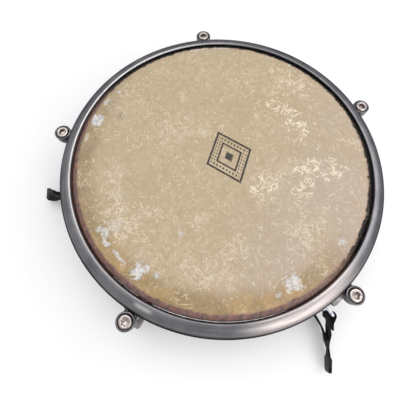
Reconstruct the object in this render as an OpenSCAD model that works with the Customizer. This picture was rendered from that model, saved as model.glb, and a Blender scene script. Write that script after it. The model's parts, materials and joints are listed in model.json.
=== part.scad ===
// Shallow hand drum: a hide head stretched over a short ring frame, held down by
// a rolled rim with five ears and five tension screws, with a webbing strap.
// Millimetres, +Z up. The origin is on the drum's axis, in the plane it rests on.

/* [Rim] */
// Bore of the rim at its top lip
rim_bore_d = 302; // [300:0.5:304]
// Height of the rim's top lip above the resting plane
rim_top_z = 72; // [70:0.5:74]
// Thickness of the rim's rolled steel
rim_t = 3; // [2.5:0.1:3]
// Height of the rolled band, from its lip to its lower edge
rim_band_h = 22; // [20:0.5:24]

/* [Head] */
// How far the playing surface stands above the rim's lip
head_rise = 2; // [1:0.25:3]
// Thickness of the skin
skin_t = 1.5; // [1:0.1:1.5]
// Diameter of the flesh hoop with the skin tucked round it
hoop_d = 9.8; // [9:0.1:9.8]

/* [Frame] */
// Height of the steel band of the frame
band_h = 57; // [55:0.5:57]
// Thickness of the steel band of the frame
band_t = 3; // [2:0.1:3]
// Radial width of the wooden bearing ring
bearing_w = 22; // [20:0.5:24]

/* [Lugs] */
// Angle of the first lug, from +X
first_lug_angle = 24; // [22:0.5:25]
// Diameter of the circle that the tension screws stand on
lug_circle_d = 347.4; // [346:0.2:349]
// Diameter of a tension screw's shank
screw_d = 7.8; // [7.6:0.1:7.8]
// Diameter of a tension screw's head
screw_head_d = 12; // [11.5:0.1:12.5]
// Outer diameter of a rim ear's boss
ear_d = 17; // [16.5:0.1:18]
// Width of a lower lug bracket
bracket_w = 19; // [18:0.5:20]
// Reach of a lower lug bracket from the drum's axis
bracket_reach = 182; // [180:0.5:184]

/* [Strap] */
// Width of the webbing
strap_w = 13; // [12:0.5:13]
// Thickness of the webbing
strap_t = 2; // [1.6:0.1:2]
// Diameter of a bail's wire
bail_wire_d = 3.2; // [3:0.1:3.2]

/* [Hidden] */
$fn = 96;
lug_count = 5;
lug_step = 360 / lug_count;
lugs = [1:lug_count];
small = 0.01;
// How far a cut, or a part sunk in another of its own piece, runs past a face
over = 1;
// How far out a hole through the band is cut, to clear every plate on it
hole_reach = 20;

// Rim
lip_r = rim_bore_d / 2;
bead_r = rim_t / 2;
bead_z = rim_top_z - bead_r;
roll_base_r = lip_r + bead_r;
roll_w = 12.5;
roll_h = 11;
rim_out_r = roll_base_r + roll_w;
roll_base_z = rim_top_z - roll_h;
rim_low_z = rim_top_z - rim_band_h;

// Head and flesh hoop
head_z = rim_top_z + head_rise;
skin_r = lip_r - 1;
skin_roll_w = 22;
skin_roll_h = 6;
skin_low_z = rim_top_z - 15;
collar_flare = 0.3;
hoop_r = lip_r + 4.9;
hoop_z = rim_top_z - 9.7;

// Frame: rubber edge, steel band and wooden bearing ring, from the floor up. The skin
// clears the bearing ring by skin_gap, and the ring stands proud of the band.
skin_gap = 0.3;
band_inset = 0.4;
trim_h = 8;
trim_floor = 3;
trim_wall = 1.5;
ring_r = skin_r - skin_t - skin_gap;
band_r = ring_r - band_inset;
band_in_r = band_r - band_t;
band_top_z = trim_floor + band_h;
ring_in_r = ring_r - bearing_w;
ring_top_z = head_z - skin_t - skin_gap;
ring_roll_w = skin_roll_w - skin_t - skin_gap;
ring_roll_h = skin_roll_h - skin_t - skin_gap;
ring_bevel_w = 2;
ring_bevel_h = 1.5;
spigot_h = 14;
spigot_gap = 0.2;
ring_screw_z = band_top_z - 8;
ring_screw_first = first_lug_angle + lug_step / 2;
ring_screw_d = 3.2;
ring_screw_len = 14;
ring_screw_gap = 0.4;
ring_screw_head_d = 6.2;
ring_screw_head_h = 1.4;

// Lugs, from the screw's head down
lug_r = lug_circle_d / 2;
screw_top_z = rim_top_z - 7.4;
head_h = 7.45;
head_low_z = screw_top_z - head_h;
head_clear = 0.05;
head_bevel = 0.7;
washer_t = 1;
washer_d = 13.2;
ear_floor_z = head_low_z - head_clear - washer_t;
ear_cup_h = 7.5;
ear_h = 11.5;
ear_taper = 2.5;
ear_low_z = ear_floor_z + ear_cup_h - ear_h;
ear_cup_d = ear_d - 3.4;
ear_sink = 3;
ear_neck_step = 2;
ear_neck_w = 14;
ear_weld = 0.5;
shank_clear = 0.35;
screw_low_z = 9;
screw_point = 1;
socket_af = 6;
socket_h = 4;
bracket_t = 5;
bracket_corner = 3;
bracket_sink = 5;
bracket_top_z = screw_top_z - 40;
bracket_low_z = bracket_top_z - bracket_t;
leg_t = 4;
leg_h = 27;
rib_t = 4;
rib_reach = 14;
rib_h = 15;
nut_af = 13;
nut_h = 8;
nut_clear = 0.08;
rivet_d = 4;
rivet_head_d = 6.4;
rivet_head_h = 1.6;
rivet_tail_gap = 0.4;
rivet_side = 5.8;
rivet_z = [bracket_low_z + 10, bracket_low_z + 21];
rivet_hole_d = rivet_d + 0.2;

// Strap bails: angle from +X and reach of the bar. The right one reaches past the
// rim's edge for the slider's doubled webbing.
left_bail = [187, 174];
right_bail = [306, 184];
bails = [left_bail, right_bail];
bail_z = 24;
bail_half_h = strap_w / 2 + 0.7 + bail_wire_d / 2;
bail_corner_r = 3.2;
bail_weld = 1.5;
plate_w = 11;
plate_z = [12, 43.5];
plate_t = 3;
plate_rivet_z = [24, 38];

function lug_angle(i) = first_lug_angle + (i - 1) * lug_step;
// A quarter ellipse from its top to its side; first = 1 leaves out the top point
function quarter(cx, cz, rx, rz, n = 12, first = 0) = [for (k = [first:n])
    let (a = 90 - 90 * k / n) [cx + rx * cos(a), cz + rz * sin(a)]];

// The head's shoulder, in by a given depth from its outer surface
function shoulder(depth) = quarter(skin_r - skin_roll_w, head_z - skin_roll_h,
    skin_roll_w - depth, skin_roll_h - depth);
function reversed(list) = [for (k = [len(list) - 1:-1:0]) list[k]];

module spin(a) { rotate([0, 0, a]) children(); }

// A rod along +X, from x0 to x1
module rod(d, x0, x1) { translate([x0, 0, 0]) rotate([0, 90, 0]) cylinder(d = d, h = x1 - x0); }

// A ring of rectangular section
module ring(r_in, r_out, z0, z1) {
    translate([0, 0, z0]) difference() {
        cylinder(r = r_out, h = z1 - z0);
        translate([0, 0, -over]) cylinder(r = r_in, h = z1 - z0 + 2 * over);
    }
}

// Holes for every rivet and screw that goes through the steel band
module band_holes() {
    for (i = lugs) spin(lug_angle(i)) rivet_places() rivet_hole();
    for (bail = bails) spin(bail[0]) plate_rivet_places() rivet_hole();
    for (i = lugs) spin(ring_screw_first + (i - 1) * lug_step) translate([0, 0, ring_screw_z])
        rod(ring_screw_d + ring_screw_gap, band_in_r - over, band_r + over);
}

module rivet_hole() { rod(rivet_hole_d, band_in_r - over, band_r + hole_reach); }

module rivet_places() {
    for (z = rivet_z) translate([0, (z == rivet_z[0] ? 1 : -1) * rivet_side, z]) children();
}

module plate_rivet_places() {
    for (z = plate_rivet_z) translate([0, 0, z]) children();
}

// ---- Frame ----

// Rubber channel pushed over the band's lower edge; the drum rests on it
module edge_trim() color("#1b1b1d") difference() {
    ring(band_in_r - trim_wall, band_r + trim_wall, 0, trim_h);
    ring(band_in_r, band_r, trim_floor, trim_h + over);
}

// Rolled steel band that carries the brackets and the bails
module frame_band() color("#2b2b2e") difference() {
    ring(band_in_r, band_r, trim_floor, band_top_z);
    band_holes();
}

// Turned wooden ring with a rounded bearing edge; a spigot drops inside the band
module bearing_ring() color("#8a6a44") rotate_extrude() polygon(concat(
    [[ring_in_r, ring_top_z - ring_bevel_h], [ring_in_r + ring_bevel_w, ring_top_z]],
    quarter(ring_r - ring_roll_w, ring_top_z - ring_roll_h, ring_roll_w, ring_roll_h),
    [[ring_r, band_top_z], [band_in_r - spigot_gap, band_top_z],
     [band_in_r - spigot_gap, band_top_z - spigot_h], [ring_in_r, band_top_z - spigot_h]]));

// Round-head screws that hold the bearing ring in the band
module ring_screws() color("#3a3a3d") for (i = lugs)
    spin(ring_screw_first + (i - 1) * lug_step) translate([0, 0, ring_screw_z]) {
        rod(ring_screw_d, band_r - ring_screw_len, band_r + over);
        rod(ring_screw_head_d, band_r, band_r + ring_screw_head_h);
    }

// Clearance hole for a screw's shank through so much height from a level
module shank_hole(z, h) translate([lug_r, 0, z - over])
    cylinder(d = screw_d + 2 * shank_clear, h = h + 2 * over);

// Bracket that takes a tension screw: a plate, a leg riveted to the band and a rib
module lug_bracket(i) color("#4a4a4d") spin(lug_angle(i)) difference() {
    corner_r = bracket_reach - bracket_corner;
    union() {
        translate([band_r - bracket_sink, -bracket_w / 2, bracket_low_z])
            cube([corner_r - band_r + bracket_sink, bracket_w, bracket_t]);
        translate([corner_r - small, bracket_corner - bracket_w / 2, bracket_low_z])
            cube([bracket_corner + small, bracket_w - 2 * bracket_corner, bracket_t]);
        for (s = [-1, 1]) translate([corner_r, s * (bracket_w / 2 - bracket_corner), bracket_low_z])
            cylinder(r = bracket_corner, h = bracket_t, $fn = 48);
        translate([band_r - bracket_sink, -bracket_w / 2, bracket_low_z])
            cube([bracket_sink + leg_t, bracket_w, leg_h]);
        translate([band_r + leg_t - small, rib_t / 2, bracket_top_z - small]) rotate([90, 0, 0])
            linear_extrude(rib_t) polygon([[0, 0], [rib_reach, 0], [0, rib_h]]);
    }
    translate([0, 0, bracket_low_z - over]) cylinder(r = band_r, h = leg_h + 2 * over);
    shank_hole(bracket_low_z, bracket_t);
    rivet_places() rivet_hole();
}

// Rivet through the band to a face at a given reach
module rivet(reach) {
    rod(rivet_d, band_in_r - rivet_tail_gap - over, reach + over);
    rod(rivet_head_d, reach, reach + rivet_head_h);
    rod(rivet_head_d, band_in_r - rivet_tail_gap - rivet_head_h, band_in_r - rivet_tail_gap);
}

// Two rivets that hold a bracket to the band
module lug_rivets(i) color("#6d6d70") spin(lug_angle(i)) rivet_places() rivet(band_r + leg_t);

// Hexagon nut welded under the bracket's plate
module lug_nut(i) color("#77777a") spin(lug_angle(i)) translate([lug_r, 0, bracket_low_z - nut_h])
    difference() {
        cylinder(d = nut_af / cos(30), h = nut_h, $fn = 6);
        translate([0, 0, -over]) cylinder(d = screw_d + 2 * nut_clear, h = nut_h + 2 * over);
    }

// ---- Strap bails ----

// Curved plate on the band with an upright loop of bright wire for the webbing
module strap_bail(bail) spin(bail[0]) {
    bar_r = bail[1];
    bar_half = bail_half_h - bail_corner_r;
    color("#4a4a4d") difference() {
        intersection() {
            ring(band_r, band_r + plate_t, plate_z[0], plate_z[1]);
            translate([0, -plate_w / 2, 0]) cube([band_r + hole_reach, plate_w, rim_top_z]);
        }
        plate_rivet_places() rivet_hole();
    }
    color("#d8d8da") translate([0, 0, bail_z]) rotate([90, 0, 0]) {
        for (s = [-1, 1]) translate([0, s * bail_half_h, 0])
            rod(bail_wire_d, band_r + plate_t - bail_weld, bar_r - bail_corner_r);
        for (s = [0, 1]) mirror([0, s, 0]) translate([bar_r - bail_corner_r, bar_half, 0])
            rotate_extrude(angle = 90) translate([bail_corner_r, 0]) circle(d = bail_wire_d, $fn = 32);
        translate([bar_r, -bar_half, 0]) rotate([-90, 0, 0])
            cylinder(d = bail_wire_d, h = 2 * bar_half);
    }
}
module strap_bail_left() strap_bail(left_bail);
module strap_bail_right() strap_bail(right_bail);

module bail_rivets() color("#6d6d70") for (bail = bails) spin(bail[0])
    plate_rivet_places() rivet(band_r + plate_t);

// ---- Head ----

// Hide head: flat playing surface, rolled shoulder and steep collar
module head_skin() color("#cbb995") rotate_extrude() polygon(concat(
    [[0, head_z]],
    shoulder(0),
    [[skin_r + collar_flare, skin_low_z], [skin_r + collar_flare - skin_t, skin_low_z]],
    reversed(shoulder(skin_t)),
    [[0, head_z - skin_t]]));

// Round hoop that the skin's edge is lapped round; the rim bears down on it
module flesh_hoop() color("#a98f6a") rotate_extrude() translate([hoop_r, hoop_z])
    circle(d = hoop_d, $fn = 48);

// ---- Rim ----

// Rolled steel rim: beaded lip, curved face and upright band
module rim() color("#55555a") rotate_extrude() polygon(concat(
    [for (a = [270:-15:105]) [roll_base_r + bead_r * cos(a), bead_z + bead_r * sin(a)]],
    quarter(roll_base_r, roll_base_z, roll_w, roll_h),
    [[rim_out_r, rim_low_z], [rim_out_r - rim_t, rim_low_z]],
    reversed(quarter(roll_base_r, roll_base_z, roll_w - rim_t, roll_h - rim_t, 12, 1))));

// Ear: a cupped boss for the screw's head on a neck that is welded to the rim
module rim_ear(i) color("#4f4f53") spin(lug_angle(i)) difference() {
    union() {
        translate([lug_r, 0, ear_low_z])
            cylinder(d1 = ear_d - ear_taper, d2 = ear_d, h = ear_floor_z - ear_low_z);
        translate([lug_r, 0, ear_floor_z]) cylinder(d = ear_d, h = ear_cup_h);
        translate([rim_out_r - ear_sink, -ear_neck_w / 2, ear_low_z])
            cube([lug_r - rim_out_r + ear_sink, ear_neck_w, ear_floor_z + ear_neck_step - ear_low_z]);
    }
    translate([0, 0, ear_low_z - over]) cylinder(r = rim_out_r - ear_weld, h = ear_h + 2 * over);
    shank_hole(ear_low_z, ear_h);
    translate([lug_r, 0, ear_floor_z]) cylinder(d = ear_cup_d, h = ear_h);
}

module washer(i) color("#b9b9bc") spin(lug_angle(i)) difference() {
    translate([lug_r, 0, ear_floor_z]) cylinder(d = washer_d, h = washer_t);
    shank_hole(ear_floor_z, washer_t);
}

// Socket-head screw that draws the rim down to its bracket
module tension_screw(i) color("#cfcfd2") spin(lug_angle(i)) translate([lug_r, 0, 0])
    difference() {
        union() {
            translate([0, 0, screw_low_z + screw_point])
                cylinder(d = screw_d, h = head_low_z - screw_low_z);
            translate([0, 0, screw_low_z])
                cylinder(d1 = screw_d - 2 * screw_point, d2 = screw_d, h = screw_point);
            translate([0, 0, head_low_z]) cylinder(d = screw_head_d, h = head_h - head_bevel);
            translate([0, 0, screw_top_z - head_bevel])
                cylinder(d1 = screw_head_d, d2 = screw_head_d - 2 * head_bevel, h = head_bevel);
        }
        translate([0, 0, screw_top_z - socket_h]) cylinder(d = socket_af / cos(30),
            h = socket_h + over, $fn = 6);
    }

// ---- Strap ----

// Route of the webbing's middle line, as rows of x, y, z, then the heading and the
// rise of its width in degrees. It is folded round the left bail, hangs out, runs
// back under the drum and round the frame on edge, and ends in the slider.
strap_route = [
    [-187.7, -20, 22.6, 97, 64], [-183.8, -20.8, 23.7, 97, 84], [-179.9, -21, 23.9, 97, 89],
    [-177.5, -19.6, 24, 97, 90], [-174.5, -18.2, 24, 97, 90], [-171.5, -18.3, 24, 97, 90],
    [-169.5, -20.8, 24, 97, 90], [-170.8, -23.7, 24, 97, 90], [-173.7, -24.5, 24, 97, 90],
    [-177, -23.9, 24, 97, 90], [-180.2, -23.4, 24, 97, 90], [-184.2, -23, 24, 97, 84],
    [-188.4, -22, 23.6, 97, 64], [-192.4, -20.6, 22.8, 97, 38], [-196.7, -19, 20.4, 97, 14],
    [-201, -17.3, 16.2, 97, 0], [-204.4, -15.6, 10.8, 97, 0], [-204.9, -15.3, 5.9, 97, 8],
    [-201.6, -16.4, 4.8, 97, 36], [-196.2, -17.8, 6.9, 97, 72], [-189, -18.4, 7.2, 97, 90],
    [-179.4, -14.4, 7.2, 97, 90], [-168.6, -3.2, 7.2, 97, 90], [-157, 15, 7.2, 97, 90],
    [-150, 41, 7.2, 97, 90], [-136, 75, 7.2, 97, 90], [-113, 106, 7.2, 97, 90],
    [-82, 131, 7.2, 97, 90], [-46, 148, 7.2, 97, 90], [-6, 155, 7.2, 97, 90],
    [34, 151, 7.2, 97, 90], [72, 137, 7.2, 97, 90], [104, 115, 7.2, 97, 90],
    [130, 84, 7.2, 97, 90], [148, 47, 7.2, 97, 90], [155, 8, 7.2, 97, 90], [151, -34, 7.2, 97, 90],
    [137, -73, 7.2, 97, 90], [118, -101, 7.2, 150, 86], [103, -120, 7.2, 202, 78],
    [97.2, -133, 7.1, 202, 70], [97.6, -144.3, 7, 202, 66], [101.6, -153.2, 7.2, 201, 69],
    [104.9, -159.9, 7.4, 187, 70], [106.3, -166.5, 8.4, 158, 68], [106.4, -174.2, 9.5, 140, 71]];

// Route of the short end: folded round the right bail, through the slider and out
// to its tip
tail_route = [
    [109.8, -159.4, 20.2, 254, 54], [109, -154.4, 23.2, 250, 70], [110.7, -151.2, 24, 250, 88],
    [111.6, -148.6, 24, 250, 90], [110.2, -146.2, 24, 250, 90], [108.5, -145.5, 24, 250, 90],
    [106.7, -145.8, 24, 250, 90], [104.6, -147.9, 24, 250, 90], [104.6, -150.8, 24, 250, 90],
    [106.1, -154.1, 22.8, 250, 74], [107.5, -158.5, 19.4, 254, 52],
    [108.6, -163.6, 15.8, 263, 54], [109, -168.7, 12.4, 251, 60],
    [108.7, -174.6, 10.1, 227, 66], [108.6, -179.4, 8.9, 213, 69],
    [108.7, -184.1, 8.1, 204, 73], [108.2, -189.7, 7.6, 205, 80], [107.4, -196, 7.4, 198, 84],
    [106.6, -201.4, 7.4, 183, 85]];

// Slider and tip: place of the middle, heading and rise of the width, then the
// course along the webbing
slider_on = [[107.55, -174.4, 9.75], 227, 66, [-0.03, -1, -0.2]];
slider_size = [16.8, 11, 2.4];
slider_slot = [13.6, 2.9];
slider_bar = 2.6;
tip_on = [[107.4, -196.2, 7.4], 195, 84, [-0.13, -1, 0]];
tip_size = [14.4, 14, 3.4];

function unit(v) = v / norm(v);
function direction(heading, rise) = [cos(rise) * cos(heading), cos(rise) * sin(heading), sin(rise)];
function width_of(row) = direction(row[3], row[4]);
function row_at(route, k) = route[max(0, min(len(route) - 1, k))];
function place_at(route, k) = let (row = row_at(route, k)) [row[0], row[1], row[2]];

// Catmull-Rom point on a route, with t from 0 to its last row
function route_point(route, t) = let (k = min(floor(t), len(route) - 2), u = t - k,
    a = place_at(route, k - 1), b = place_at(route, k),
    c = place_at(route, k + 1), d = place_at(route, k + 2))
    0.5 * (2 * b + (c - a) * u + (2 * a - 5 * b + 4 * c - d) * u * u
        + (3 * b - a - 3 * c + d) * u * u * u);
function route_width(route, t) = let (k = min(floor(t), len(route) - 2), u = t - k)
    (1 - u) * width_of(row_at(route, k)) + u * width_of(row_at(route, k + 1));

// The eight corners of the webbing's section at t
function section(route, t) = let (last = len(route) - 1, step = 0.05, edge = strap_t * 0.3,
    p = route_point(route, t),
    along = unit(route_point(route, min(last, t + step)) - route_point(route, max(0, t - step))),
    tilt = route_width(route, t),
    w = unit(tilt - along * (tilt * along)), n = cross(along, w),
    a = strap_w / 2, b = strap_t / 2)
    [for (q = [[a, b - edge], [a - edge, b], [edge - a, b], [-a, b - edge],
               [-a, edge - b], [edge - a, -b], [a - edge, -b], [a, edge - b]])
        p + w * q[0] + n * q[1]];

// Webbing: the section swept along a route in a number of steps
module webbing(route, steps) color("#17181b") {
    last = len(route) - 1;
    sides = 8;
    polyhedron([for (k = [0:steps]) each section(route, last * k / steps)], concat(
        [[for (j = [0:sides - 1]) j]],
        [for (k = [0:steps - 1], j = [0:sides - 1], half = [0, 1])
            let (a = k * sides + j, b = k * sides + (j + 1) % sides)
            half == 0 ? [a, a + sides, b + sides] : [a, b + sides, b]],
        [[for (j = [sides - 1:-1:0]) steps * sides + j]]));
}
module strap() webbing(strap_route, 90);
module strap_tail() webbing(tail_route, 54);

// A piece that sits square on the webbing: X across it, Y along it, Z out of it
module on_webbing(on) {
    w = direction(on[1], on[2]);
    d = unit(on[3] - w * (on[3] * w));
    n = cross(w, d);
    multmatrix([for (k = [0:2]) [w[k], d[k], n[k], on[0][k]]]) children();
}

// Three-bar slider that joins the strap and its short end
module strap_slider() color("#17181b") on_webbing(slider_on) difference() {
    cube(slider_size, center = true);
    for (s = [-1, 1]) translate([0, s * (slider_slot[1] + slider_bar) / 2, 0])
        cube([slider_slot[0], slider_slot[1], slider_size[2] + 2 * over], center = true);
}

// Cap on the end of the short end
module strap_tip() color("#101113") on_webbing(tip_on) cube(tip_size, center = true);

edge_trim();
frame_band();
bearing_ring();
ring_screws();
for (i = lugs) lug_bracket(i);
for (i = lugs) lug_rivets(i);
for (i = lugs) lug_nut(i);
strap_bail_left();
strap_bail_right();
bail_rivets();
head_skin();
flesh_hoop();
rim();
for (i = lugs) rim_ear(i);
for (i = lugs) washer(i);
for (i = lugs) tension_screw(i);
strap();
strap_tail();
strap_slider();
strap_tip();
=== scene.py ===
"""Looks of the shallow hand drum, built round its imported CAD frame.

Lengths are millimetres until a mesh is made, and MM turns them into metres. Places are in
the row frame: Z up, the drum's axis through the origin, the floor at zero.
"""

import json
import math

import bmesh
import bpy
import numpy as np
from mathutils import Matrix, Vector


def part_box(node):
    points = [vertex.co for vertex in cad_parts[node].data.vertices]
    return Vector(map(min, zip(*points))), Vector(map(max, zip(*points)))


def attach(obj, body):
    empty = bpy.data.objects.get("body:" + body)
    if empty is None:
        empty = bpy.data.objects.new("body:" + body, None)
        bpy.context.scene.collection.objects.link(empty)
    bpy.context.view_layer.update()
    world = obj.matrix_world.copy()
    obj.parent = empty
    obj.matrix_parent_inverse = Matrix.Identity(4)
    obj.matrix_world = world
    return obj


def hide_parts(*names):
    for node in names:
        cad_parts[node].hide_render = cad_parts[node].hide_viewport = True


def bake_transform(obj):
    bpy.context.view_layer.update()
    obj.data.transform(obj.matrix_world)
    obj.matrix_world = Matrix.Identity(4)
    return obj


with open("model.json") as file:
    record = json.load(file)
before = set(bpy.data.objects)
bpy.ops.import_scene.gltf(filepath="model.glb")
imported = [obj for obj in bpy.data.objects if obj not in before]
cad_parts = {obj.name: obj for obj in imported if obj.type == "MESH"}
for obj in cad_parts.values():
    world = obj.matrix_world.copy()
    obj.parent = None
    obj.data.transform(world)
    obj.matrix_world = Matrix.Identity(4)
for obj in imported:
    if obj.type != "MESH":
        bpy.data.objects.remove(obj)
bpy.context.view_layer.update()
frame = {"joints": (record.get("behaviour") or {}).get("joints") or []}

MM = 0.001
TAU = 2 * math.pi


def heights(node):
    """The lowest and the highest place of a CAD node, in mm."""
    low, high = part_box(node)
    return round(low[2] / MM, 2), round(high[2] / MM, 2)


def outer_radius(node):
    """How far a CAD node round the drum's axis reaches along X, in mm."""
    return round(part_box(node)[1][0] / MM, 2)


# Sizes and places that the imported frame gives
RIM_LOW, RIM_TOP = heights("rim")
SKIN_LOW, HEAD_Z = heights("head_skin")
BAND_LOW, BAND_TOP = heights("frame_band")
SPIGOT_LOW, RING_TOP = heights("bearing_ring")
EAR_LOW, EAR_TOP = heights("rim_ear_1")
EAR_FLOOR, WASHER_TOP = heights("washer_1")
SCREW_LOW, SCREW_TOP = heights("tension_screw_1")
PLATE_LOW, LEG_TOP = heights("lug_bracket_1")
NUT_LOW, NUT_TOP = heights("lug_nut_1")
BAIL_LOW, BAIL_TOP = heights("strap_bail_left")
TRIM_TOP = heights("edge_trim")[1]
RIM_OUT, BAND_R, RING_R = [outer_radius(node) for node in ("rim", "frame_band", "bearing_ring")]
LUG_AT = next(joint["pos_m"] for joint in frame["joints"] if joint["name"] == "screw_turn_1")
LUG_R = round(math.hypot(LUG_AT[0], LUG_AT[1]) / MM, 1)
LUG_FIRST = round(math.degrees(math.atan2(LUG_AT[1], LUG_AT[0])), 1)
LUGS = range(1, 6)
LUG_STEP = 360 / len(LUGS)

# Sizes inside the pieces, the same as in the part's source
LIP_R, BEAD_R, RIM_T, ROLL_W, ROLL_H = 151.0, 1.5, 3.0, 12.5, 11.0
SKIN_R, SKIN_T, SHOULDER_W, SHOULDER_H = 150.0, 1.5, 22.0, 6.0
HOOP_AT, HOOP_R = (155.9, 62.3), 4.9
BAND_IN, RING_IN = 144.8, 126.2
EAR_R, CUP_R, BORE_R = 8.5, 6.8, 4.25
HEAD_LOW, SCREW_HEAD_R, SOCKET_FLATS = 57.15, 6.0, 6.0
SHANK_R, THREAD_TOP, THREAD_PITCH = 3.9, 47.0, 1.25
PLATE_TOP, LEG_IN, LEG_OUT, BRACKET_W, BRACKET_OUT = 24.6, 147.2, 151.8, 19.0, 182.0
NUT_FLATS = 13.0
STRAP_W, STRAP_T = 13.0, 2.0

# Angle of each bail, and the radius that its wire's bar stands at
BAILS = {"left": (187.0, 174.0), "right": (306.0, 184.0)}
BAIL_Z, WIRE_R, BAIL_HALF, BAIL_CORNER = 24.0, 1.6, 8.8, 3.2
BAIL_PLATE_T, BAIL_PLATE_HALF = 3.0, 5.5

# Places of the rivets across and up their bracket or bail plate
LUG_RIVETS = ((5.8, 29.6), (-5.8, 40.6))
BAIL_RIVETS = ((0, 24.0), (0, 38.0))


def add(name, data):
    """A new object in the scene."""
    obj = bpy.data.objects.new(name, data)
    bpy.context.collection.objects.link(obj)
    return obj


# ---- Camera ----

CAMERA_AT = (-24.2, -122.2, 314.7)
CAMERA_RIGHT = Vector((0.99997, 0.0, 0.00713))
CAMERA_UP = Vector((-0.00221, 0.95068, 0.31017))
CAMERA_LENS = 24.075


def make_camera():
    data = bpy.data.cameras.new("camera")
    data.lens, data.sensor_width = CAMERA_LENS, 36.0
    data.clip_start, data.clip_end = 0.01, 20.0
    camera = add("camera", data)
    turn = Matrix((CAMERA_RIGHT, CAMERA_UP, CAMERA_RIGHT.cross(CAMERA_UP))).transposed()
    camera.matrix_world = Matrix.Translation(Vector(CAMERA_AT) * MM) @ turn.to_4x4()
    bpy.context.scene.camera = camera


# ---- Mesh helpers ----

SHARP = 35.0


def make(name, points, faces, material):
    """A smooth-shaded object from points in mm; edges over SHARP degrees stay sharp."""
    mesh = bpy.data.meshes.new(name)
    mesh.from_pydata((np.asarray(points, float) * MM).tolist(), [], faces)
    tidy = bmesh.new()
    tidy.from_mesh(mesh)
    bmesh.ops.remove_doubles(tidy, verts=tidy.verts, dist=1e-7)
    bmesh.ops.recalc_face_normals(tidy, faces=tidy.faces)
    tidy.to_mesh(mesh)
    tidy.free()
    mesh.polygons.foreach_set("use_smooth", [True] * len(mesh.polygons))
    mesh.set_sharp_from_angle(angle=math.radians(SHARP))
    mesh.materials.append(material)
    return add(name, mesh)


def grid_faces(rows, columns, wrap=False):
    """Quads between rows of as many points each, with every row closed on itself."""
    return [
        (i * columns + j, i * columns + (j + 1) % columns,
         (i + 1) % rows * columns + (j + 1) % columns, (i + 1) % rows * columns + j)
        for i in range(rows if wrap else rows - 1) for j in range(columns)
    ]


def solid(rings, wrap=False):
    """Points and faces of a skin over rings of points; its end rings are capped unless it wraps."""
    rings = np.asarray(rings, float)
    rows, columns = rings.shape[:2]
    faces = grid_faces(rows, columns, wrap)
    if not wrap:
        faces += [tuple(range(columns)), tuple(range((rows - 1) * columns, rows * columns))]
    return rings.reshape(-1, 3).tolist(), faces


def loft(name, rings, material, wrap=False):
    return make(name, *solid(rings, wrap), material)


def turned(profile, turns, shape=None):
    """Rings of points for a profile of (radius, height) turned round Z.

    A radius may be a function of angle and height, and shape moves all the points.
    """
    angle = np.linspace(0, TAU, turns, endpoint=False)
    rings = []
    for radius, height in profile:
        r = radius(angle, height) if callable(radius) else np.full(turns, float(radius))
        z = np.full(turns, float(height))
        if shape:
            r, z = shape(r, angle, z)
        rings.append(np.stack([r * np.cos(angle), r * np.sin(angle), z], 1))
    return np.array(rings)


def lathe(name, profile, material, turns, shape=None):
    return loft(name, turned(profile, turns, shape), material, wrap=True)


def eased(outline, radius, steps=5, closed=True):
    """An outline with its corners rounded; radius is one number or one for each corner."""
    points = [Vector(p) for p in outline]
    radii = [radius] * len(points) if np.isscalar(radius) else radius
    out = []
    for k, p in enumerate(points):
        if radii[k] <= 0 or not closed and k in (0, len(points) - 1):
            out.append(p)
            continue
        before, after = points[k - 1] - p, points[(k + 1) % len(points)] - p
        half = before.angle(after) / 2
        cut = min(radii[k] / math.tan(half), 0.48 * before.length, 0.48 * after.length)
        a, b = p + before.normalized() * cut, p + after.normalized() * cut
        for s in np.linspace(0, 1, steps):
            out.append(a * (1 - s) ** 2 + p * (2 * s * (1 - s)) + b * s * s)
    return out


def quarter(centre, width, height, steps):
    """A quarter ellipse from its top to its side."""
    return [(centre[0] + width * math.sin(a), centre[1] + height * math.cos(a))
            for a in np.linspace(0, math.pi / 2, steps + 1)]


def prism(outline, low, high):
    """Points and faces of an outline in XY raised from low to high."""
    n = len(outline)
    points = [(*p, z) for z in (low, high) for p in outline]
    faces = [(i, (i + 1) % n, n + (i + 1) % n, n + i) for i in range(n)]
    return points, faces + [tuple(range(n)), tuple(range(n, 2 * n))]


def block(size, at):
    """Points and faces of a box with its middle at a point."""
    x, y, z = (s / 2 for s in size)
    points, faces = prism([(-x, -y), (x, -y), (x, y), (-x, y)], -z, z)
    return [tuple(Vector(p) + Vector(at)) for p in points], faces


def round_section(middle, side, up, radius, sides):
    """A ring of points round a middle, across the way that a bar goes."""
    return [middle + (side * math.cos(a) + up * math.sin(a)) * radius
            for a in np.linspace(0, TAU, sides, endpoint=False)]


def sweep(path, radius):
    """Rings of a round bar along a path, without twist."""
    path = [Vector(p) for p in path]
    rings, side = [], None
    for k, p in enumerate(path):
        along = (path[min(k + 1, len(path) - 1)] - path[max(k - 1, 0)]).normalized()
        if side is None:
            side = along.orthogonal().normalized()
        side = (side - along * side.dot(along)).normalized()
        rings.append(round_section(p, side, along.cross(side), radius, 24))
    return np.array(rings)


def ball_ended(start, end, radius):
    """Rings of a bar with domed ends, the shape of a short weld bead."""
    a, b = Vector(start), Vector(end)
    along = (b - a).normalized()
    ends = [0.12, 0.5, 0.8, 0.97]
    path = [a - along * radius * math.sqrt(1 - e * e) for e in ends] + [a, b]
    path += [b + along * radius * math.sqrt(1 - e * e) for e in reversed(ends)]
    scale = ends + [1, 1] + ends[::-1]
    side = along.orthogonal().normalized()
    up = along.cross(side)
    return np.array([round_section(p, side, up, radius * s, 16) for p, s in zip(path, scale)])


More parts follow.
